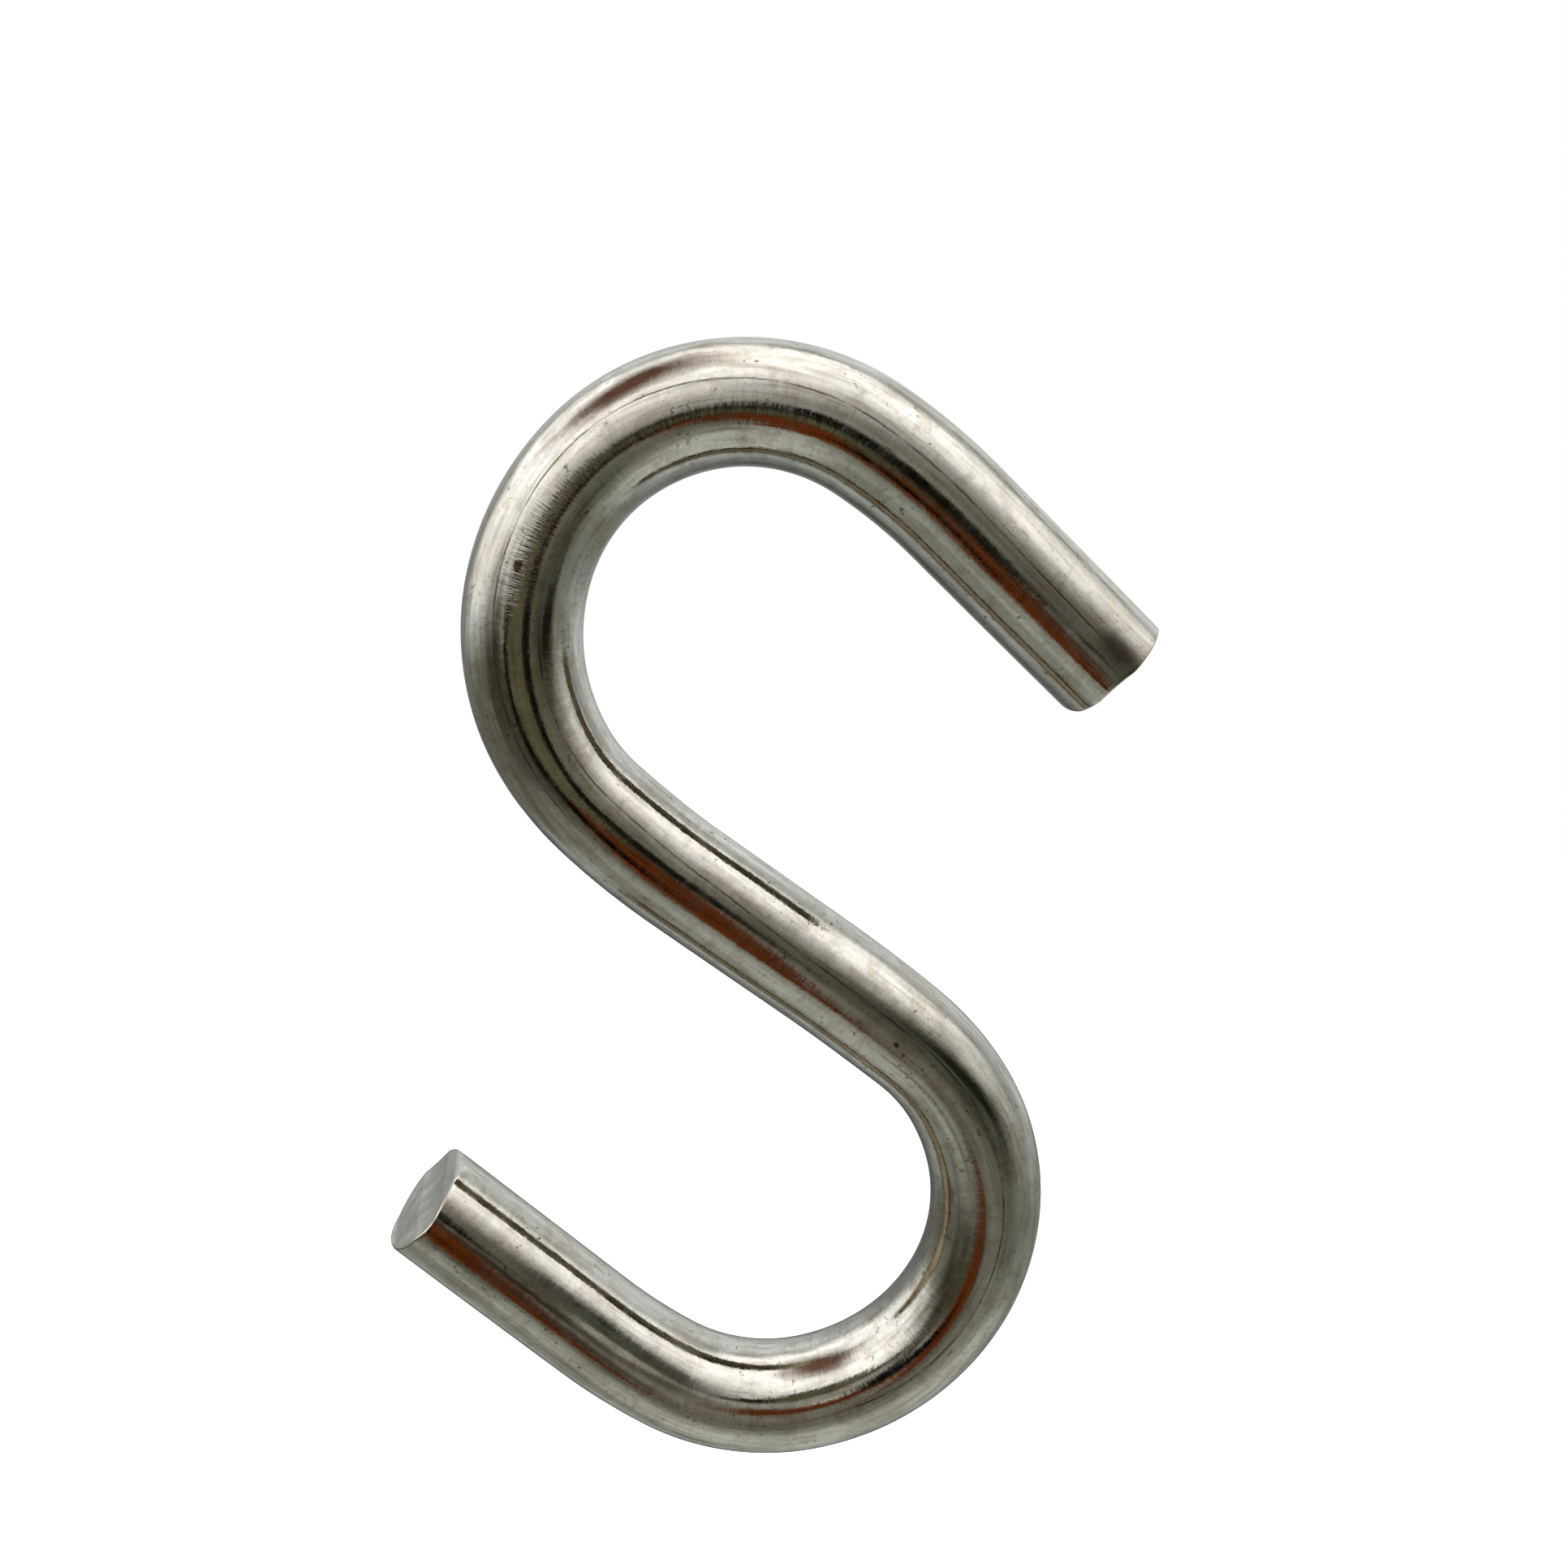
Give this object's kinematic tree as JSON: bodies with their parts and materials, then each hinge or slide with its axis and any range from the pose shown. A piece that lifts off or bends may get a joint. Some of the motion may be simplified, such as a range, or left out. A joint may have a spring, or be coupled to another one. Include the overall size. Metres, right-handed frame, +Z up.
{
  "type": "s hook",
  "caption": "S-shaped hook bent from one length of round nickel-plated steel bar, with two open hooks and sheared tips, for hanging a load from a rail, ring or chain.",
  "frame": {"origin": "on the seat: the top of the inside of the upper hook, where it hangs on a rail, in the bar's middle plane", "axes": "+Z up as it hangs, +X to the right across the hook as seen from the front, +Y from front to back through the bar"},
  "size_m": [0.0536, 0.008, 0.0804],
  "materials": {
    "nickel_plate": "bright nickel plate, slightly hazy, with fine drawing lines along the bar"
  },
  "bodies": {
    "root": {"hook": "nickel_plate"}
  },
  "joints": []
}
